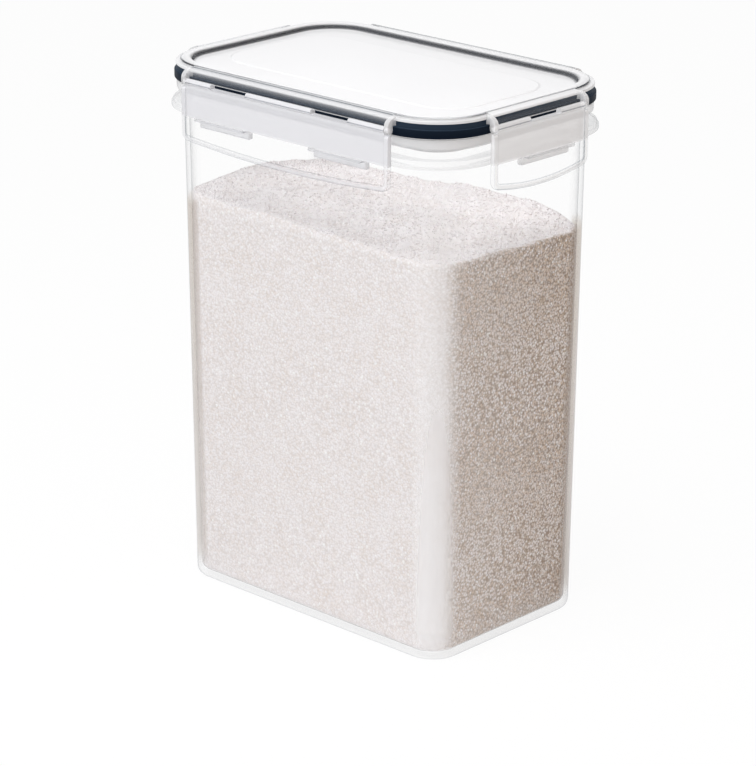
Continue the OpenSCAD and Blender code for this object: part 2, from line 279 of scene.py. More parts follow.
def rounded_rows(rows, arc_n=14, side_s=(-0.96, -0.5, 0.0, 0.5, 0.96)):
    """Rows of rounded rectangles, as points [row, place, xyz], and each point's haze.

    Row [cx, cy, r, z, haze] is a rectangle of corner centres (+-cx, +-cy) carried outwards by r at height z. Each
    place is a share of the centres plus a unit direction times r, so one array of shares and directions makes all rows.
    """
    turn = np.linspace(0.0, math.pi / 2, arc_n + 1)
    s = np.asarray(side_s)
    centre, out = [], []
    for quarter, corner in enumerate(np.array([(1, 1), (-1, 1), (-1, -1), (1, -1)])):
        angle = turn + quarter * math.pi / 2
        arc = np.stack([np.cos(angle), np.sin(angle)], 1)
        following = np.array([-corner[1], corner[0]])
        centre += [np.tile(corner, (arc_n + 1, 1)), corner + (following - corner) * ((s + 1) / 2)[:, None]]
        out += [arc, np.tile(arc[-1], (len(s), 1))]
    centre = np.concatenate(centre)
    out = np.concatenate(out)
    rows = np.asarray(rows, float)
    spine = rows[:, None, 0:2] * centre[None]
    flat = spine + rows[:, None, 2:3] * out[None]
    height = np.broadcast_to(rows[:, None, 3:4], flat[..., :1].shape)
    haze = np.broadcast_to(rows[:, None, 4], flat.shape[:2])
    return np.concatenate([flat, height], 2), haze


def inward(outline):
    """Unit vectors pointing inwards at each point of a closed anticlockwise outline [a, b, ...]."""
    along = np.roll(outline[:, :2], -1, 0) - np.roll(outline[:, :2], 1, 0)
    along /= np.maximum(np.hypot(along[:, 0], along[:, 1]), 1e-9)[:, None]
    return np.stack([-along[:, 1], along[:, 0]], 1)


def stacked(outline, places, insets, standing=False):
    """Closed rows of one outline [a, b, haze] set at several places along an axis.

    Row i is the outline moved inwards by insets[i] along its own normals, at places[i] along the axis; a place may
    differ from point to point. The outline lies across the side, in [out, up], or stands along it, in [up, along].
    """
    insets = np.asarray(insets, float)[:, None, None]
    flat = outline[None, :, :2] + inward(outline)[None] * insets
    places = np.asarray(places, float)
    if places.ndim == 1:
        places = places[:, None]
    places = np.broadcast_to(places, flat.shape[:2])
    haze = np.broadcast_to(outline[None, :, 2], flat.shape[:2])
    order = (flat[..., 1], places, flat[..., 0]) if standing else (places, flat[..., 0], flat[..., 1])
    return np.stack(order, 2), haze


def swept_ends(half, soft):
    """Places and insets of a bar from -half to half, with its end edges eased by a quarter circle."""
    t = np.linspace(0.0, math.pi / 2, 4)
    place = half - soft + soft * np.sin(t)
    inset = soft - soft * np.cos(t)
    places = np.concatenate([-place[::-1], [0.0], place])
    insets = np.concatenate([inset[::-1], [0.0], inset])
    return places, insets


def at_side(points, side, shoulder):
    """Turns local [along the side, out from the shoulder, up] points to one side of the lid."""
    turn = math.radians(SIDE_TURN[side])
    reach_out = shoulder[1] if side in ("front", "back") else shoulder[0]
    along, out, up = points[..., 0], points[..., 1] + reach_out, points[..., 2]
    x = math.cos(turn) * along - math.sin(turn) * out
    y = math.sin(turn) * along + math.cos(turn) * out
    return np.stack([x, y, up], -1)


def new_object(name, data):
    """An object of the data, linked to the scene."""
    item = bpy.data.objects.new(name, data)
    bpy.context.scene.collection.objects.link(item)
    return item


class Mesh:
    """Vertices, faces and haze of the closed shells of one piece, which may be set along a side of the lid."""

    def __init__(self, side=None, shoulder=None):
        self.points, self.faces, self.haze, self.count = [], [], [], 0
        self.side, self.shoulder = side, shoulder

    def add(self, points, faces, haze=0.0):
        """Adds one closed shell, with its faces turned outwards by the sign of its volume."""
        points = np.asarray(points, float)
        first = np.array([[f[0], f[i], f[i + 1]] for f in faces for i in range(1, len(f) - 1)])
        a, b, c = (points[first[:, i]] for i in range(3))
        if np.einsum("ij,ij->", a, np.cross(b, c)) < 0:
            faces = [f[::-1] for f in faces]
        self.faces += [[i + self.count for i in f] for f in faces]
        self.points.append(points)
        self.haze.append(np.broadcast_to(haze, (len(points),)))
        self.count += len(points)

    def add_rows(self, points, haze=0.0, ring=False, ladder=False):
        """Adds a grid [row, place, xyz] that closes round each row.

        Its end rows are joined in a ring, or capped by one face each, or by a ladder of faces from place i to place
        m - 1 - i where the row is the same on both sides.
        """
        if self.side:
            points = at_side(points, self.side, self.shoulder)
        k, m = points.shape[:2]
        i = np.arange(k if ring else k - 1)[:, None]
        j = np.arange(m)[None, :]
        i1, j1 = (i + 1) % k, (j + 1) % m
        quads = np.stack([i * m + j, i * m + j1, i1 * m + j1, i1 * m + j], -1).reshape(-1, 4).tolist()
        if ladder:
            rungs = [[n, n + 1, m - 2 - n, m - 1 - n] for n in range(m // 2 - 1)]
            quads += [rung[::-1] for rung in rungs] + [[(k - 1) * m + n for n in rung] for rung in rungs]
        elif not ring:
            quads += [list(range(m))[::-1], list(range((k - 1) * m, k * m))]
        haze = np.broadcast_to(haze, (k, m)).reshape(-1)
        self.add(points.reshape(-1, 3), quads, haze)

    def add_bar(self, section, middle, half, soft, dull=1.0):
        """Adds a bar of one section [out, up, haze]; its end edges are eased, and dull scales the haze between them."""
        places, insets = swept_ends(half, soft)
        points, haze = stacked(section, places + middle, insets)
        self.add_rows(points, np.where(insets[:, None] > 0.02, haze, dull * haze))

    def build(self, name, material, body, replaces=(), sharp=40.0):
        """Makes the object, in metres, ties it to its CAD body and hides the CAD nodes it replaces."""
        data = bpy.data.meshes.new(name)
        data.from_pydata((np.concatenate(self.points) * MM).tolist(), [], self.faces)
        data.validate()
        data.polygons.foreach_set("use_smooth", np.ones(len(data.polygons), bool))
        data.set_sharp_from_angle(angle=math.radians(sharp))
        # The veil holds haze and painted light: painted highlights and dark lines on the plastic, painted highlights on
        # the gasket, and the grain's painted shade.
        haze = data.attributes.new("veil", "FLOAT", "POINT")
        haze.data.foreach_set("value", np.concatenate(self.haze).astype(np.float32))
        data.materials.append(material)
        data.update()
        piece = new_object(name, data)
        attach(piece, body)
        if replaces:
            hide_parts(*replaces)
        return piece


# --- Materials ---

WAVE = 0.018  # metres between the slow waves of a moulded wall
DUST = 0.0011  # metres: the bloom's specks, drawn coarser than they are so that they show
PATCH = 0.014  # metres across the patches of paler and warmer grain
RELIEF = 0.25 * MM  # depth of the hollows between grains
TOP_PAINTED_LIGHT = -0.15  # the veil value of the grain's top: painted light, paler than the palest side
BLEND = 0.0002  # metres over which the satin part of a flap begins
WALL_FOOT = (0.005, 0.011)  # heights in metres over which the painted refraction of the contents begins on the wall
UNLIT = 0.95  # share of the veil and gloss that the rays that light the object pass by
CLEAR_EDGE, BOX_EDGE, FILLED_EDGE = "#AEB3B8", "#CDCFD1", "#E6E1DC"  # clear plastic seen edge-on, also the colour of the painted dark lines; and the painted refraction of grain


def linear(hex_value):
    """An sRGB hex value as linear red, green, blue and alpha."""
    srgb = np.array([int(hex_value[i : i + 2], 16) for i in (1, 3, 5)]) / 255.0
    value = np.where(srgb <= 0.04045, srgb / 12.92, ((srgb + 0.055) / 1.055) ** 2.4)
    return (*value.tolist(), 1.0)


def add(tree, kind, inputs=None, **settings):
    """Adds a shader node with its settings; each input is a value, a socket, or a node whose first output it takes."""
    node = tree.nodes.new("ShaderNode" + kind)
    for key, value in settings.items():
        setattr(node, key, value)
    for key, value in (inputs or {}).items():
        if isinstance(value, bpy.types.Node):
            value = next(socket for socket in value.outputs if socket.enabled)
        if isinstance(value, bpy.types.NodeSocket):
            tree.links.new(value, node.inputs[key])
        else:
            node.inputs[key].default_value = value
    return node


def new_material(name):
    """An empty material and its node tree."""
    material = bpy.data.materials.new(name)
    material.use_nodes = True
    material.node_tree.nodes.clear()
    return material, material.node_tree


def clear_plastic(name, tint, haze_hex, edge_hex=CLEAR_EDGE, satin_above=None, satin=0.0, filled_to=None):
    """Clear copolyester, injection moulded and polished.

    It passes light with hardly any tint and goes grey where it is seen edge-on. The piece's own veil attribute gives
    the soft white of thick or textured places and painted highlights, and below zero painted dark lines where a sharp
    inner edge bends the light. Lamps shine through all of it. satin_above is a height in metres above which the plate
    has a satin inner face. filled_to is the height of the contents: below it a wall that turns away from the eye takes
    on their colour, a painted refraction of them.
    """
    material, tree = new_material("copolyester_moulded_clear_" + name)
    veil = add(tree, "Attribute", attribute_name="veil").outputs["Fac"]
    # Below zero the veil holds painted dark lines, drawn in the edge colour.
    line = add(tree, "Math", {0: veil, 1: -1.0}, operation="MULTIPLY", use_clamp=True)
    haze = add(tree, "Math", {0: veil, 1: 0.0}, operation="ADD", use_clamp=True)
    place = add(tree, "TexCoord").outputs["Object"]
    if satin_above is not None:
        height = add(tree, "SeparateXYZ", {"Vector": place}).outputs["Z"]
        span = {"From Min": satin_above - BLEND, "From Max": satin_above + BLEND, "To Min": 0.0, "To Max": satin}
        above = add(tree, "MapRange", {"Value": height, **span})
        haze = add(tree, "Math", {0: haze, 1: above}, operation="MAXIMUM")
    path = add(tree, "LightPath").outputs
    lighting = add(tree, "Math", {0: path["Is Shadow Ray"], 1: path["Is Diffuse Ray"]}, operation="MAXIMUM")
    shown = add(tree, "Math", {0: lighting, 1: -UNLIT, 2: 1.0}, operation="MULTIPLY_ADD")
    unlined = add(tree, "Math", {0: 1.0, 1: line}, operation="SUBTRACT")
    for factor in (unlined, shown):
        haze = add(tree, "Math", {0: haze, 1: factor}, operation="MULTIPLY")
    waves = add(tree, "TexNoise", {"Vector": place, "Scale": 1 / WAVE, "Detail": 2.0})
    bump = add(tree, "Bump", {"Height": waves, "Strength": 0.12, "Distance": 0.0003})
    facing = add(tree, "LayerWeight", {"Blend": 0.5}).outputs["Facing"]
    edge = add(tree, "Math", {0: facing, 1: 5.0}, operation="POWER")
    edge = add(tree, "Math", {0: edge, 1: line}, operation="MAXIMUM")
    through = add(tree, "Mix", {"Factor": edge, "A": linear(tint), "B": linear(edge_hex)}, data_type="RGBA")
    if filled_to is not None:
        # Painted refraction: a wall takes on the contents' colour when it is turned 53 degrees or more from the eye,
        # most of all from 61 to 77.
        height = add(tree, "SeparateXYZ", {"Vector": place}).outputs["Z"]
        wall_top = (filled_to + MM, filled_to - 2 * MM)
        spans = ((facing, 0.4, 0.52), (facing, 1.0, 0.78), (height, *WALL_FOOT), (height, *wall_top))
        bent = shown
        for value, low, high in spans:
            ramp = add(tree, "MapRange", {"Value": value, "From Min": low, "From Max": high})
            bent = add(tree, "Math", {0: bent, 1: ramp}, operation="MULTIPLY")
        through = add(tree, "Mix", {"Factor": bent, "A": through, "B": linear(FILLED_EDGE)}, data_type="RGBA")
    clear = add(tree, "BsdfTransparent", {"Color": through})
    cloud = add(tree, "BsdfPrincipled", {"Base Color": linear(haze_hex), "Roughness": 0.32, "IOR": 1.5, "Normal": bump})
    body = add(tree, "MixShader", {0: haze, 1: clear, 2: cloud})
    mirror = add(tree, "Fresnel", {"IOR": 1.5, "Normal": bump})
    gloss_span = {"From Min": 0.06, "From Max": 0.25, "To Min": 0.0, "To Max": 0.12}
    mirror = add(tree, "MapRange", {"Value": mirror, **gloss_span})
    inside = add(tree, "NewGeometry").outputs["Backfacing"]
    for factor in (shown, add(tree, "Math", {0: 1.0, 1: inside}, operation="SUBTRACT")):
        mirror = add(tree, "Math", {0: mirror, 1: factor}, operation="MULTIPLY")
    gloss = add(tree, "BsdfGlossy", {"Color": linear("#FAFBFC"), "Roughness": 0.12, "Normal": bump})
    surface = add(tree, "MixShader", {0: mirror, 1: body, 2: gloss})
    add(tree, "OutputMaterial", {"Surface": surface})
    return material


def navy_silicone(gasket):
    """Moulded silicone rubber: a deep satin navy with a fine dusty bloom, a painted sheen and painted highlights."""
    material, tree = new_material("silicone_rubber_moulded_navy")
    place = add(tree, "TexCoord").outputs["Object"]
    dust = add(tree, "TexNoise", {"Vector": place, "Scale": 1 / DUST, "Detail": 3.0, "Roughness": 0.6})
    facing = add(tree, "LayerWeight", {"Blend": 0.35}).outputs["Facing"]
    bloom = add(tree, "Attribute", attribute_name="veil").outputs["Fac"]
    # Painted sheen where the surface turns from the eye, which carries the dust bloom; the veil adds painted
    # highlights.
    rim = add(tree, "Math", {0: facing, 1: 0.3}, operation="MULTIPLY")
    amount = add(tree, "Math", {0: dust, 1: rim, 2: bloom}, operation="MULTIPLY_ADD")
    colours = {"A": linear(gasket.navy), "B": linear(gasket.sheen)}
    colour = add(tree, "Mix", {"Factor": amount, **colours}, data_type="RGBA")
    bump = add(tree, "Bump", {"Height": dust, "Strength": 0.15, "Distance": 0.0001})
    rubber = {"Roughness": 0.5, "IOR": 1.41, "Specular IOR Level": 0.06}
    surface = add(tree, "BsdfPrincipled", {"Base Color": colour, "Normal": bump, **rubber})
    add(tree, "OutputMaterial", {"Surface": surface})
    return material


def white_grain(grain):
    """Polished short grain, dry and loose: pale rounded grains with painted shade between them and a few painted
    glints.

    The piece's veil attribute is painted shade: warmer and darker on the side in shade, and below zero, on the top,
    painted light that makes it paler. Each cell of a bent Voronoi pattern is one grain, with a tone of its own; the
    painted shade between the grains lies far from the cells' middles and is deeper where the side is painted darker.
    """
    material, tree = new_material("short_grain_polished_white")
    size = grain.grain * MM
    place = add(tree, "TexCoord").outputs["Object"]
    warp = add(tree, "TexNoise", {"Vector": place, "Scale": 1 / (2.2 * size), "Detail": 1.0}).outputs["Color"]
    bent = add(tree, "VectorMath", {0: warp, 1: (0.0009, 0.0009, 0.0009), 2: place}, operation="MULTIPLY_ADD")
    cells = add(tree, "TexVoronoi", {"Vector": bent, "Scale": 1 / size, "Randomness": 1.0})
    pick, glinting = add(tree, "SeparateColor", {"Color": cells.outputs["Color"]}).outputs[:2]
    painted_shade = add(tree, "Attribute", attribute_name="veil").outputs["Fac"]
    tone = add(tree, "TexNoise", {"Vector": place, "Scale": 1 / PATCH, "Detail": 2.0})
    for factor in (pick, 0.5):
        tone = add(tree, "Math", {0: tone, 1: factor}, operation="MULTIPLY")
    depth = add(tree, "MapRange", {"Value": painted_shade, "From Min": -0.25, "To Min": 0.0, "To Max": 1.0})
    # Painted shade between the grains, deeper where the side is painted in shade.
    gap_span = {"From Min": 0.3, "From Max": 0.75, "To Min": 0.0, "To Max": depth}
    # Painted glints: a few random cells painted white.
    glint_span = {"From Min": 0.955, "From Max": 0.975, "To Min": 0.0, "To Max": 0.6}
    layers = (
        (add(tree, "Math", {0: painted_shade, 1: pick, 2: tone}, operation="MULTIPLY_ADD"), grain.warm),
        (add(tree, "MapRange", {"Value": cells, **gap_span}), grain.gaps),
        (add(tree, "MapRange", {"Value": glinting, **glint_span}), "#FFFFFF"),
    )
    colour = linear(grain.pale)
    for factor, hex_value in layers:
        colour = add(tree, "Mix", {"Factor": factor, "A": colour, "B": linear(hex_value)}, data_type="RGBA")
    height = add(tree, "Math", {0: 1.0, 1: cells}, operation="SUBTRACT")
    bump = add(tree, "Bump", {"Height": height, "Strength": 0.6, "Distance": RELIEF})
    surface = add(tree, "BsdfPrincipled", {"Base Color": colour, "Roughness": 0.55, "IOR": 1.5, "Normal": bump})
    add(tree, "OutputMaterial", {"Surface": surface})
    return material


# --- Pieces ---


def wall_r(box, z):
    """Outside corner radius of the leaning wall at height z: the rim's radius less the draft's share."""
    return box.corner_r - box.draft * (1 - z / box.rim)


def row_on(spine, r):
    """A function that gives a profile row: the rounded rectangle of corner centres spine and radius r, moved out."""
    return lambda out, z, haze, ease: (*spine, r + out, z, haze, ease)


def carried(rows, closed=False, steps=4, **grid):
    """Points and haze of a profile carried round the piece; its rows are [cx, cy, r, z, haze, corner radius]."""
    rows = np.array(rows)
    return rounded_rows(eased(rows[:, :5], rows[:, 5], closed, steps), **grid)


def corner_share(points, spine):
    """How far round a corner each point lies: the sine of twice its angle about the corner's centre; 0 on a side."""
    out = np.abs(points[..., :2]) - np.asarray(spine)
    out = np.maximum(out, 0.0)
    return 2 * out[..., 0] * out[..., 1] / np.maximum(out[..., 0] ** 2 + out[..., 1] ** 2, 1e-6)


class CANISTER_OT_box(bpy.types.Operator):
    """The clear box: one closed shell that runs up the outside, over the rim and down the inside."""

    bl_idname = "canister.box"
    bl_label = "Box"

    def execute(self, context):
        box, lid = sizes(context)
        foot = row_on(box.spine, FOOT_R)
        flange = row_on(lid.spine, lid.corner_r)

        def wall(z, haze, ease, inset=0.0):
            return (*box.spine, wall_r(box, z) - inset, z, haze, ease)

        ring, step = box.ring_out, box.ring_out - RING_STEP
        ring_top = box.ring_low + box.ring_h
        step_z = box.ring_low + 0.55 * box.ring_h
        collar, bead = box.collar_out, box.collar_out - 0.3
        rows = [
            foot(-1.0, FOOT_H, 0.1, 0.0), foot(0.0, FOOT_H, 0.1, 0.2), foot(0.3, 0.0, 0.1, 0.2),
            wall(0, 0.12, box.base_fillet), wall(12, 0.0, 0.1), wall(box.ring_low, 0.0, 0.3),
            flange(ring, box.ring_low, 0.25, 0.3), flange(ring, step_z, 0.25, 0.15),
            flange(step, step_z, 0.25, 0.15), flange(step, ring_top, 0.25, 0.25),
            wall(ring_top, 0.05, 0.4), wall(box.collar_low, 0.05, 0.4),
            flange(collar, box.collar_low, 0.5, 1.2), flange(collar, box.rim - 0.5, 0.5, 0.1),
            flange(bead, box.rim - 0.5, 0.3, 0.1), flange(bead, box.rim, 0.2, 0.2),
            wall(box.rim, 0.1, 0.4, box.wall), wall(box.rim - 3, 0.0, 0.1, box.wall), wall(9, 0.0, 0.1, box.wall),
            wall(box.floor_top, 0.1, box.base_fillet - box.wall, box.wall), (*box.spine, 3.0, box.floor_top, 0.1, 0.0),
        ]
        points, haze = carried(rows, steps=5)
        # Painted highlight: a soft white band added to the haze round each upright corner, from near the base up to the
        # latch ring.
        highlight_height = np.clip((box.ring_low - points[..., 2]) / 6.0, 0, 1) * np.clip(points[..., 2] / 12.0, 0, 1)
        haze = haze + 0.5 * highlight_height * corner_share(points, box.spine) ** 0.6
        mesh = Mesh()
        mesh.add_rows(points, haze)
        level = context.scene.canister_grain.level
        material = clear_plastic("box", box.tint, box.haze, BOX_EDGE, filled_to=level)
        mesh.build("container_shell", material, "container", ["container"])
        return {"FINISHED"}


# The fill's top: x, y and the height there.
FILL_HEIGHTS = np.array([
    (-66, -41, 153.9), (-66, -22, 155.0), (-66, -8, 156.6), (-66, 2, 157.4), (-66, 14, 155.2), (-65, 26, 152.8),
    (-62, 38, 151.1), (-46, 41, 150.7), (-30, 41, 151.3), (-12, 41, 152.3), (14, 41, 154.3), (40, 41, 154.4),
    (61, 39, 150.9), (66, 30, 148.2), (66, 8, 149.6), (66, -14, 151.0), (66, -32, 151.8), (58, -41, 151.9),
    (30, -41, 152.6), (0, -41, 153.4), (-30, -41, 154.2), (-36, 4, 156.4), (0, 4, 155.2), (30, 6, 154.2),
    (50, 10, 152.9),
])
FILL_SPREAD = 10.0  # how far each of those heights reaches
FILL_EDGE = 0.45  # size of the bevel round the fill's top
TOP_RINGS = 64  # rings of points from the middle of the fill's top to its edge


def fill_level(x, y):
    """Height of the fill at (x, y): the mean of the heights around, each weighted by a Gaussian of its distance.

    Small lumps are added: sums of sines of a few centimetres' and a few millimetres' length.
    """
    away = (x[..., None] - FILL_HEIGHTS[:, 0]) ** 2 + (y[..., None] - FILL_HEIGHTS[:, 1]) ** 2
    weight = np.exp(-away / (2 * FILL_SPREAD**2)) + 1e-9
    level = (weight * FILL_HEIGHTS[:, 2]).sum(-1) / weight.sum(-1)
    lumps = 0.4 * np.sin(x / 6.3 + 1.0) * np.sin(y / 5.1 + 0.4) + 0.35 * np.sin(x / 1.9) * np.sin(y / 2.1 + 2.0)
    return level + lumps


def grain_shape(rng, count):
    """Random squashed, turned icosahedra [count, 12, 3] of unit size, and their 20 shared faces.

    A point v is turned by a unit quaternion (w, q) to v + 2 (w q x v + q x (q x v)).
    """
    golden = (1 + math.sqrt(5)) / 2
    pairs = [(a, b * golden) for a in (-1, 1) for b in (-1, 1)]
    base = np.array([(p, q, 0) for p, q in pairs] + [(0, p, q) for p, q in pairs] + [(q, 0, p) for p, q in pairs])
    base /= np.linalg.norm(base[0])
    gap = np.linalg.norm(base[:, None] - base[None], axis=2)
    near = (gap > 0.1) & (gap < 1.1)
    faces = [f for f in combinations(range(12), 3) if all(near[pair] for pair in combinations(f, 2))]
    faces = [f if np.dot(base[f[0]], np.cross(base[f[1]], base[f[2]])) > 0 else f[::-1] for f in faces]
    stretch = rng.uniform((0.42, 0.34, 0.3), (0.72, 0.5, 0.44), (count, 3))
    turn = rng.normal(size=(count, 4))
    turn /= np.linalg.norm(turn, axis=1)[:, None]
    w, q = turn[:, None, :1], turn[:, None, 1:]
    shapes = base[None] * stretch[:, None]
    across = np.cross(q, shapes)
    return shapes + 2 * (w * across + np.cross(q, across)), np.array(faces)


class CANISTER_OT_grain(bpy.types.Operator):
    """The fill: one closed body against the wall, and loose grains that lie on its top."""

    bl_idname = "canister.grain"
    bl_label = "Grain"

    def execute(self, context):
        box, _ = sizes(context)
        grain = Millimetres(context.scene.canister_grain)
        material = white_grain(grain)
        top_r = wall_r(box, grain.level) - box.wall - GRAIN_GAP
        self.body(box, grain, top_r, material)
        self.loose(box, grain, top_r, material)
        return {"FINISHED"}

    def body(self, box, grain, top_r, material):
        """Rows up the wall, then rings over the top; painted shade makes the grain warmest and darkest on the
        right-hand end, which is in shade.
        """
        floor_z = box.floor_top + GRAIN_GAP
        low_r = wall_r(box, floor_z) - box.wall - GRAIN_GAP
        inner = row_on(box.spine, 0.0)
        sides = np.array([
            inner(3.0, floor_z, 0.0, 0.0), inner(low_r, floor_z, 0.0, box.base_fillet - box.wall),
            inner(top_r, grain.level - 3.0, 0.0, 0.5), inner(top_r, grain.level, 0.0, 0.0),
        ])
        rows = eased(sides[:, :5], sides[:, 5], closed=False, steps=5)
        shrink = np.linspace(1.0, 0.02, TOP_RINGS)[1:, None]
        top = np.concatenate([rows[-1:, :3] * shrink, np.full_like(shrink, grain.level), 0 * shrink], 1)
        top[0, :3] = rows[-1, :3] - (0, 0, FILL_EDGE)
        points, _ = rounded_rows(np.concatenate([rows, top]), arc_n=12, side_s=np.linspace(-0.98, 0.98, 41))
        level = fill_level(points[..., 0], points[..., 1])
        row = np.arange(len(points))
        raised = row[:, None] >= len(rows) - 1
        points[..., 2] = np.where(raised, level, np.minimum(points[..., 2], level - 0.6))
        points[row == len(rows) - 1, :, 2] -= FILL_EDGE
        # Painted shade on the right-hand end, which is in shade: warmer and darker towards the back and higher up,
        # fading out at the top edge.
        past_x = np.maximum(points[..., 0] - box.spine[0], 0)
        past_y = np.maximum(np.abs(points[..., 1]) - box.spine[1], 0)
        across = points[..., 1] / (box.spine[1] + top_r)
        painted_shade = np.clip((past_x / np.maximum(np.hypot(past_x, past_y), 1e-6) - 0.86) / 0.14, 0, 1)
        painted_shade = painted_shade * np.clip((grain.level + 1.0 - points[..., 2]) / 5.0, 0, 1)
        painted_shade = painted_shade * (0.72 + 0.25 * across) * (0.8 + 0.2 * points[..., 2] / grain.level)
        mesh = Mesh()
        mesh.add_rows(points, np.where(row[:, None] > len(rows), TOP_PAINTED_LIGHT, painted_shade))
        mesh.build("grain_fill", material, "container", sharp=60.0)

    def loose(self, box, grain, top_r, material):
        """Grains scattered over the fill's top; those that would lie past a round corner are drawn in."""
        rng = np.random.default_rng(grain.seed)
        count = grain.loose
        shapes, faces = grain_shape(rng, count)
        halves = [middle + top_r for middle in box.spine]
        room = 1 - 1.1 * grain.grain / halves[1]
        flat = np.stack([rng.uniform(-1, 1, count) * half * room for half in halves])
        past = np.maximum(np.abs(flat) - np.array(box.spine)[:, None], 0)
        held = np.minimum(1.0, (top_r - 1.0) / np.maximum(np.hypot(*past), 1e-6))
        x, y = flat - np.sign(flat) * past * (1 - held)
        z = fill_level(x, y) + rng.uniform(-0.25, 0.35, count) * grain.grain
        size = grain.grain * rng.uniform(0.85, 1.25, count)
        verts = shapes * size[:, None, None] + np.stack([x, y, z], 1)[:, None]
        mesh = Mesh()
        mesh.points.append(verts.reshape(-1, 3))
        mesh.haze.append(np.full(count * 12, TOP_PAINTED_LIGHT))
        mesh.faces = (faces[None] + 12 * np.arange(count)[:, None, None]).reshape(-1, 3).tolist()
        mesh.build("grain_loose_top", material, "container", sharp=180.0)


class CANISTER_OT_gasket(bpy.types.Operator):
    """The silicone seal: a stepped outer band and a tongue, as one closed ring."""

    bl_idname = "canister.gasket"
    bl_label = "Gasket"

    def execute(self, context):
        box, lid = sizes(context)
        gasket = Millimetres(context.scene.canister_gasket)
        top, under = lid.lip_low - GASKET_GAP, PLATE_LOW - GASKET_GAP
        plug = row_on(box.spine, lid.plug_r + 2 * GASKET_GAP)
        edge = row_on(lid.spine, lid.corner_r)
        # Third column, the veil: painted highlights on the step and on the upper band.
        rows = [
            plug(0, gasket.low, 0.0, 0.2), edge(gasket.low_out, gasket.low, 0.0, 0.35),
            edge(gasket.low_out, gasket.step, 0.1, 0.3), edge(gasket.high_out, gasket.step, 0.5, 0.2),
            edge(gasket.high_out, top, 0.4, 0.15), edge(-TONGUE_OUT, top, 0.0, 0.1),
            edge(-TONGUE_OUT, TONGUE_TOP, 0.0, 0.15), edge(-TONGUE_IN, TONGUE_TOP, 0.0, 0.15),
            edge(-TONGUE_IN, top, 0.0, 0.1), edge(-TONGUE_IN - 0.6, top, 0.0, 0.1),
            edge(-TONGUE_IN - 0.6, under, 0.0, 0.1), plug(0, under, 0.0, 0.2),
        ]
        points, haze = carried(rows, closed=True, steps=3, arc_n=20)
        mesh = Mesh()
        mesh.add_rows(points, haze, ring=True)
        mesh.build("gasket_ring", navy_silicone(gasket), "lid", ["gasket"])
        return {"FINISHED"}


# Angle down a hinge hood in degrees, its veil on the long sides and its veil on the ends. The veil is painted light:
# painted highlights down the hood and at its lower edge, and painted dark lines below zero.
HOOD_VEIL = np.array([
    (0, -0.25, -0.4), (4, -0.2, 0.3), (7, 0.4, 0.6), (10, 0.6, 0.8), (12, 0.2, 0.8), (14, -0.7, 0.8),
    (16, -1.0, 0.8), (19, -1.0, 0.8), (21, -0.6, 0.8), (23, 0.3, 0.8), (27, 0.42, 0.8), (32, 0.5, 0.7),
    (37, 0.48, 0.5), (42, 0.44, 0.2), (47, 0.36, 0.03), (52, 0.24, 0.02), (58, 0.14, 0.04), (66, 0.08, 0.06),
    (74, 0.05, 0.06), (81, 0.03, 0.04), (86, 0.1, 0.15), (88, 0.5, 0.6), (90, 0.6, 0.7),
])


def hood_curve(lid, inset, start, stop, is_long=True):
    """Points [out, up, haze] of a hood: a quarter ellipse from the shoulder down to the hood's edge.

    At angle t the point lies reach*sin(t) out and drop*cos(t) above the edge. The outer face's haze, painted highlights
    and painted dark lines, is read from a table of angle, haze on the long sides and haze on the ends; the inner face
    has none.
    """
    angle = HOOD_VEIL[:, 0] if start < stop else HOOD_VEIL[::-3, 0]
    angle = angle[(angle >= min(start, stop)) & (angle <= max(start, stop))]
    t = np.radians(angle)
    drop = lid.top - 0.15 - lid.hood_low
    out = (lid.hood_out - inset) * np.sin(t)
    up = lid.hood_low + (drop - inset) * np.cos(t)
    veil = np.interp(angle, HOOD_VEIL[:, 0], HOOD_VEIL[:, 1 if is_long else 2])
    return np.stack([out, up, veil if inset < 1 else np.zeros_like(t)], 1)


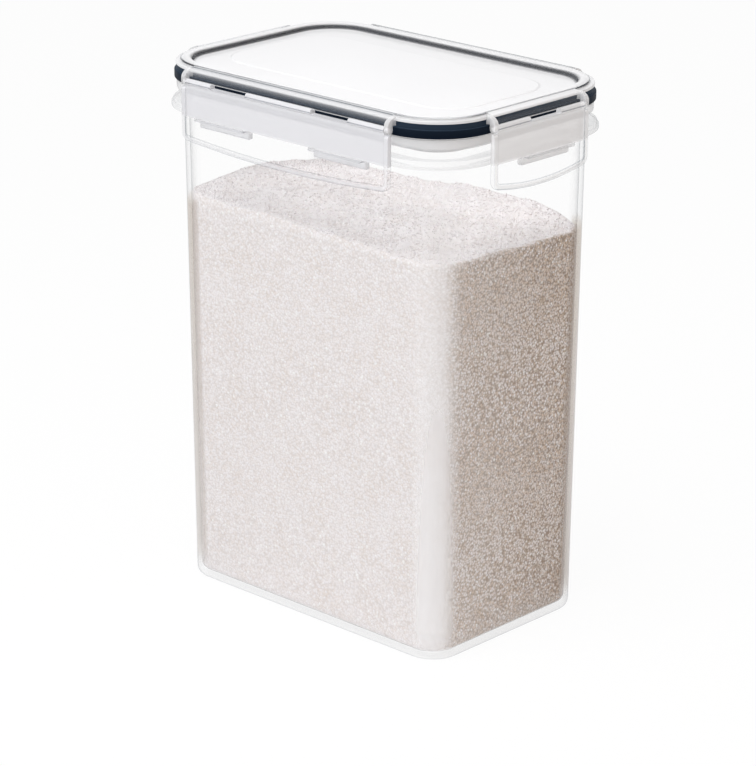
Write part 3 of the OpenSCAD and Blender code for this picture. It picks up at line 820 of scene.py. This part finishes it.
class CANISTER_OT_lid(bpy.types.Operator):
    """The clear lid: a plate with a raised panel, a ridge, a lip and a plug, and a hood with two ears on each side."""

    bl_idname = "canister.lid"
    bl_label = "Lid"

    def execute(self, context):
        box, lid = sizes(context)
        flaps = Millimetres(context.scene.canister_flaps)
        material = clear_plastic("lid", box.tint, lid.haze)
        self.plate(box, lid, material)
        for side in SIDES:
            self.hood(side, lid, flaps, material)
        return {"FINISHED"}

    def plate(self, box, lid, material):
        """Rows from the middle of the top, out over the ridge and lip, under them and down and up the plug."""
        inset = (PANEL_IN_L + lid.panel_r, PANEL_IN_W + lid.panel_r)
        panel = row_on([half - less for half, less in zip(lid.shoulder, inset)], lid.panel_r)
        edge = row_on(lid.spine, lid.corner_r)
        plug = row_on(box.spine, lid.plug_r)
        panel_top = lid.plate_top + PANEL_H
        ridge = -lid.ridge_w
        slot_top = TONGUE_TOP + TONGUE_ROOM
        slot_out, slot_in = TONGUE_ROOM - TONGUE_OUT, -TONGUE_IN - TONGUE_ROOM
        # Third column, the veil: a painted highlight on the lip (0.85) and a painted dark line at the shoulder (-0.8),
        # where the ridge bends the light.
        rows = [
            panel(-3, panel_top, 0.93, 0.0), panel(0, panel_top, 0.93, 0.5), panel(0.6, lid.plate_top, 0.9, 0.4),
            edge(ridge - 1.0, lid.plate_top, 0.93, 0.2), edge(ridge - 0.2, lid.plate_top, 0.3, 0.2),
            edge(ridge + 0.1, lid.plate_top + 0.3, 0.04, 0.1), edge(ridge + 0.35, lid.top - 0.6, 0.04, 0.5),
            edge(ridge + 1.4, lid.top, 0.9, 0.4), edge(-2.2, lid.top, 0.9, 0.2), edge(-1.5, lid.top, 0.8, 0.1),
            edge(-0.9, lid.top - 0.03, 0.8, 0.1), edge(-0.45, lid.top - 0.1, 0.6, 0.1),
            edge(-0.15, lid.top - 0.3, -0.8, 0.1), edge(0.0, lid.top - 0.7, 0.5, 0.1),
            edge(0.1, lid.top - 1.0, 0.7, 0.3), edge(lid.lip_out, lid.top - 1.1, 0.85, 0.9),
            edge(lid.lip_out, lid.lip_low, 0.85, 0.1), edge(slot_out, lid.lip_low, 0.3, 0.1),
            edge(slot_out, slot_top, 0.1, 0.1), edge(slot_in, slot_top, 0.1, 0.1),
            edge(slot_in, lid.lip_low, 0.1, 0.1), edge(slot_in - 0.6, lid.lip_low, 0.1, 0.1),
            edge(slot_in - 0.6, PLATE_LOW, 0.1, 0.1), plug(0, PLATE_LOW, 0.6, 0.3), plug(0, lid.plug_low, 0.6, 0.3),
            plug(-PLUG_WALL, lid.plug_low, 0.6, 0.3), plug(-PLUG_WALL, PLATE_LOW, 0.4, 0.5),
            (*box.spine, 4.0, PLATE_LOW, 0.3, 0.0),
        ]
        mesh = Mesh()
        mesh.add_rows(*carried(rows, arc_n=20))
        mesh.build("lid_shell", material, "lid", ["lid"])

    def hood(self, side, lid, flaps, material):
        """One hinge hood, a swept quarter ellipse, with an ear at each end that holds the flap's pin."""
        is_long = side in ("front", "back")
        half = flaps.long_half if is_long else flaps.short_half
        outer = hood_curve(lid, 0.0, 0, 90, is_long)
        inner = hood_curve(lid, HOOD_T, 90, 0)
        root = [(-0.6, inner[-1, 1], 0.3), (-0.6, outer[0, 1] - 0.1, 0.6)]
        mesh = Mesh(side, lid.shoulder)
        mesh.add_bar(np.concatenate([outer, inner, root])[::-1], 0.0, half - EAR_W + 0.3, 0.05)
        ear = self.ear_outline(lid)
        for end in (-1, 1):
            mesh.add_bar(ear, end * (half - EAR_W / 2), EAR_W / 2, 0.2, dull=0.9)
        mesh.build(f"hinge_hood_{side}", material, "lid")

    def ear_outline(self, lid):
        """An ear: the hood's own curve above, and half a circle round the pin below."""
        outer = hood_curve(lid, 0.02, 25, 90)
        outer[:, 2] = 0.7
        t = np.radians(np.linspace(0, -180, 13))
        out, up = AXIS_OUT + EAR_R * np.cos(t), AXIS_Z + EAR_R * np.sin(t)
        round_pin = np.stack([np.minimum(out, lid.hood_out - 0.05), up, 0.45 + 0.1 * np.sin(t)], 1)
        inner = lid.lip_out + 0.05
        web = [(AXIS_OUT - EAR_R, lid.hood_low + 0.2, 0.3), (inner, lid.hood_low, 0.3), (inner, outer[0, 1], 0.3)]
        return np.concatenate([outer, round_pin, web])[::-1]


def flap_edge(flaps, half, top):
    """Outline [up, along, haze] of a flap: straight ends, round lower corners and an edge that bulges down.

    Between the corners the edge lies bulge*(1 - 0.9 s^2) under them, where s runs from -1 to 1 along it.
    """
    r = flaps.corner_r
    t = np.radians(np.linspace(0, 80, 10))
    s = np.linspace(1, -1, 34)[1:-1]
    centre = flaps.low + r - 0.1 * flaps.bulge
    corner = np.stack([centre - r * np.sin(t), half - r + r * np.cos(t)], 1)
    edge = np.stack([flaps.low - flaps.bulge * (1 - 0.9 * s**2), s * (half - r)], 1)
    other = corner[::-1] * (1, -1)
    side = np.concatenate([top - np.array([0.3, 0.6, 0.9]), np.linspace(top - 1.5, centre, 8)[:-1]])
    down = np.stack([side, np.full_like(side, half)], 1)
    up = down[::-1] * (1, -1)
    outline = np.concatenate([[(top, half)], down, corner, edge, other, up, [(top, -half)]])
    return np.concatenate([outline, np.zeros((len(outline), 1))], 1)


class CANISTER_OT_flaps(bpy.types.Operator):
    """The four snap flaps: a ribbed plate, a slotted hinge barrel with its pins, and hooks under the latch ring."""

    bl_idname = "canister.flaps"
    bl_label = "Flaps"

    def execute(self, context):
        box, lid = sizes(context)
        flaps = Millimetres(context.scene.canister_flaps)
        satin_above = (HOOK_TOP + 0.15) * MM
        # The two flap materials are lit and shaded copies of one: painted light evens out the light on the front and on
        # the end.
        materials = [
            clear_plastic(name, box.tint, haze, satin_above=satin_above, satin=satin)
            for name, haze, satin in (
                ("end_flap", flaps.haze_short, flaps.satin_short), ("long_flap", flaps.haze, flaps.satin)
            )
        ]
        for side in SIDES:
            is_long = side in ("front", "back")
            material = materials[is_long]
            half = flaps.long_half if is_long else flaps.short_half
            self.plate(side, half, is_long, lid, flaps, material)
            self.barrel(side, half, is_long, lid, flaps, material)
            self.hooks(side, is_long, lid, flaps, material)
        return {"FINISHED"}

    def plate(self, side, half, is_long, lid, flaps, material):
        """The plate and its rib, as rows of the outline set in from the edge; the rib fades out under the hinge.

        Row [inset, out, share of the rib's height, veil]; the veil is a painted highlight on the rib and painted dark
        lines along its edges.
        """
        top = AXIS_Z - EAR_R - 0.4
        outline = flap_edge(flaps, half, top)
        inner, outer, w = flaps.plate_in, flaps.plate_in + flaps.plate_t, flaps.rib_w
        rib = np.clip((top - outline[:, 0]) / 0.8, 0, 1)
        rib = (flaps.rib_out - outer) * rib**2 * (3 - 2 * rib)
        # Painted highlight along the rib and painted dark lines along its edges.
        bright, dark = (0.5, -0.4) if is_long else (0.4, -0.45)
        rows = np.array([
            (2.0, inner, 0.0, 0.0), (0.5, inner, 0.0, 0.0), (0.25, inner, 0.0, 0.0), (0.07, inner + 0.07, 0.0, dark),
            (0.0, inner + 0.25, 0.0, dark), (0.0, inner + 0.5, 0.0, 0.1), (0.0, outer - 0.3, 1.0, 0.1),
            (0.08, outer - 0.08, 1.0, dark), (0.3, outer, 1.0, 0.2), (0.6, outer, 1.0, bright),
            (w - 0.6, outer, 1.0, bright), (w - 0.35, outer, 1.0, 0.2), (w - 0.15, outer - 0.02, 0.9, dark),
            (w, outer, 0.6, dark), (w + 0.1, outer, 0.25, 0.4 * dark), (w + 0.25, outer, 0.0, 0.0),
            (w + 0.5, outer, 0.0, 0.0),
        ])
        points, _ = stacked(outline, rows[:, 1:2] + rows[:, 2:3] * rib[None, :], rows[:, 0], standing=True)
        mesh = Mesh(side, lid.shoulder)
        mesh.add_rows(points, rows[:, 3:], ladder=True)
        mesh.build(f"flap_plate_{side}", material, f"flap_{side}", [f"flap_{side}"])

    def barrel(self, side, half, is_long, lid, flaps, material):
        """The hinge barrel with the plate's neck under it, cut away above the slots, and a pin at each end.

        The section is a circle with a straight neck below; inside a slot its height is held under the slot's floor.
        """
        start = math.asin(flaps.plate_t / 2 / BARREL_R)
        t = np.linspace(-math.pi / 2 + start, 1.5 * math.pi - start, 25)
        circle = np.stack([BARREL_R * np.cos(t), BARREL_R * np.sin(t)], 1)
        section = np.concatenate([circle, [(-flaps.plate_t / 2, -NECK), (flaps.plate_t / 2, -NECK)]])
        # Haze round the barrel, with a painted shadow line along its outer side at the height of the axis.
        haze_and_shadow_line = np.where((np.abs(section[:, 1] + 0.05) < 0.2) & (section[:, 0] > 0), -0.8, 0.4)
        haze_and_shadow_line = np.where(section[:, 1] > 0.6, 0.15, haze_and_shadow_line)
        haze_and_shadow_line = np.where(section[:, 1] < -0.25, 0.2, haze_and_shadow_line)
        section = np.concatenate([section + (AXIS_OUT, AXIS_Z), haze_and_shadow_line[:, None]], 1)
        reach_half = half - BARREL_IN
        middles, slot_half = SLOTS[is_long]
        ends = [x + end * slot_half for x in middles for end in (-1, -1, 1, 1)]
        places = [-reach_half, *ends, reach_half]
        cut = [False, *(False, True, True, False) * len(middles), False]
        points, haze = stacked(section, places, np.zeros(len(places)))
        floored = np.minimum(points[..., 2], AXIS_Z - SLOT_DROP)
        points[..., 2] = np.where(np.array(cut)[:, None], floored, points[..., 2])
        mesh = Mesh(side, lid.shoulder)
        mesh.add_rows(points, haze)
        t = np.linspace(0, 2 * math.pi, 17)[:-1]
        pin = np.stack([AXIS_OUT + PIN_R * np.cos(t), AXIS_Z + PIN_R * np.sin(t), 0 * t + 0.3], 1)
        for end in (-1, 1):
            mesh.add_bar(pin, end * (reach_half + PIN_L / 2 - 0.1), PIN_L / 2 + 0.1, 0.15)
        mesh.build(f"flap_barrel_{side}", material, f"flap_{side}")

    def hooks(self, side, is_long, lid, flaps, material):
        """Each hook is a shelf from the plate with a block that turns down at its inner end."""
        inner, outer, plate = -HOOK_IN, BLOCK_T - HOOK_IN, flaps.plate_in + 0.1
        top, low, shelf_low = HOOK_TOP, HOOK_TOP - BLOCK_H, HOOK_TOP - SHELF_T
        corners = [
            (inner, top, 0.1), (inner, low, 0.6), (outer, low, 0.65), (outer, shelf_low, 0.6),
            (plate, shelf_low, 0.45), (plate, top, 0.2),
        ]
        section = eased(corners, (0.4, 0.5, 0.5, 0.4, 0.1, 0.1))
        mesh = Mesh(side, lid.shoulder)
        middles, hook_half = HOOKS[is_long]
        for middle in middles:
            mesh.add_bar(section, middle, hook_half, 0.35)
        mesh.build(f"flap_hooks_{side}", material, f"flap_{side}")


# --- Studio ---

KEY_PLACE, FILL_PLACE = (4, 62.5), (100, 30)  # azimuth from the front and elevation of each lamp, in degrees
LAMP_AIM, LAMP_AWAY, LAMP_SIZE = (0, 0, 0.1), 1.0, 0.7  # metres: the point lit, how far off, and a softbox's side
FLOOR_HALF, FLOOR_Z = 3.0, -0.0004  # metres


def seen_directly(tree):
    """1 for rays from the camera, from gloss and through glass, 0 for the rays that light the object."""
    path = add(tree, "LightPath").outputs
    either = add(tree, "Math", {0: path["Is Camera Ray"], 1: path["Is Glossy Ray"]}, operation="MAXIMUM")
    return add(tree, "Math", {0: either, 1: path["Is Transmission Ray"]}, operation="MAXIMUM")


def towards(azimuth, elevation):
    """Unit vector to a place at an azimuth from the front and an elevation, both in radians."""
    flat = math.cos(elevation)
    return Vector((math.sin(azimuth) * flat, -math.cos(azimuth) * flat, math.sin(elevation)))


class CANISTER_OT_stage(bpy.types.Operator):
    """The camera, the lamps, the white surroundings and the floor."""

    bl_idname = "canister.stage"
    bl_label = "Stage"

    def execute(self, context):
        studio = context.scene.canister_studio
        self.camera(context, studio)
        self.lamp("key_softbox", studio.key, KEY_PLACE)
        self.lamp("fill_softbox", studio.fill, FILL_PLACE, studio.warm_light)
        self.world(context, studio)
        self.floor(studio)
        context.scene.view_settings.view_transform = "Standard"
        context.scene.cycles.transparent_max_bounces = 32
        return {"FINISHED"}

    def camera(self, context, studio):
        """Looks at the aim from an azimuth, an elevation and a distance."""
        data = bpy.data.cameras.new("camera")
        data.sensor_width = 36.0
        data.lens = studio.lens
        back = towards(studio.azimuth, studio.elevation)
        place = Matrix.Translation(Vector(studio.aim) + back * studio.distance)
        turn = back.to_track_quat("Z", "Y").to_matrix().to_4x4()
        camera = new_object("camera", data)
        camera.matrix_world = place @ turn @ Matrix.Rotation(studio.roll, 4, "Z")
        context.scene.camera = camera

    def lamp(self, name, power, place, colour="#FFFFFF"):
        """A square softbox that faces the middle of the object."""
        data = bpy.data.lights.new(name, "AREA")
        data.shape = "SQUARE"
        data.size = LAMP_SIZE
        data.energy = power
        data.color = linear(colour)[:3]
        away = towards(*(math.radians(degrees) for degrees in place))
        lamp = new_object(name, data)
        lamp.location = Vector(LAMP_AIM) + away * LAMP_AWAY
        lamp.rotation_euler = away.to_track_quat("Z", "Y").to_euler()

    def world(self, context, studio):
        """White where it is seen, and a plain soft light on the object."""
        world = bpy.data.worlds.new("white_surroundings")
        world.use_nodes = True
        tree = world.node_tree
        tree.nodes.clear()
        seen = add(tree, "Background", {"Color": linear("#FFFFFF"), "Strength": 1.0})
        light = add(tree, "Background", {"Color": linear("#FFFFFF"), "Strength": studio.ambient})
        mix = add(tree, "MixShader", {0: seen_directly(tree), 1: light, 2: seen})
        add(tree, "OutputWorld", {"Surface": mix})
        context.scene.world = world

    def floor(self, studio):
        """A plain pale sheet that looks white and still takes the object's soft shadow."""
        data = bpy.data.meshes.new("studio_floor")
        corners = [(x * FLOOR_HALF, y * FLOOR_HALF, FLOOR_Z) for x, y in ((-1, -1), (1, -1), (1, 1), (-1, 1))]
        data.from_pydata(corners, [], [(0, 1, 2, 3)])
        material, tree = new_material("paper_sheet_white")
        matt = add(tree, "BsdfDiffuse", {"Color": linear(studio.floor)})
        glow = add(tree, "Emission", {"Color": linear("#FFFFFF"), "Strength": 1.0})
        own = add(tree, "Math", {0: seen_directly(tree), 1: studio.floor_light}, operation="MULTIPLY")
        mix = add(tree, "MixShader", {0: own, 1: matt, 2: glow})
        add(tree, "OutputMaterial", {"Surface": mix})
        data.materials.append(material)
        floor = new_object("studio_floor", data)


OPERATORS = (
    CANISTER_OT_box,
    CANISTER_OT_grain,
    CANISTER_OT_gasket,
    CANISTER_OT_lid,
    CANISTER_OT_flaps,
    CANISTER_OT_stage,
)


class CANISTER_PT_panel(bpy.types.Panel):
    """Lists the canister's operators and sizes."""

    bl_idname = "CANISTER_PT_panel"
    bl_label = "Food canister"
    bl_space_type = "VIEW_3D"
    bl_region_type = "UI"
    bl_category = "Canister"

    def draw(self, context):
        for operator in OPERATORS:
            self.layout.operator(operator.bl_idname)
        for name, group in GROUPS.items():
            box = self.layout.box()
            box.label(text=group.__doc__)
            for key in group.__annotations__:
                box.prop(getattr(context.scene, name), key)


def register():
    for item in (*GROUPS.values(), *OPERATORS, CANISTER_PT_panel):
        bpy.utils.register_class(item)
    for name, group in GROUPS.items():
        setattr(bpy.types.Scene, name, PointerProperty(type=group))


def unregister():
    for name in GROUPS:
        delattr(bpy.types.Scene, name)
    for item in reversed((*GROUPS.values(), *OPERATORS, CANISTER_PT_panel)):
        bpy.utils.unregister_class(item)


def main():
    register()
    for operator in OPERATORS:
        group, name = operator.bl_idname.split(".")
        getattr(getattr(bpy.ops, group), name)()


if __name__ == "__main__":
    main()
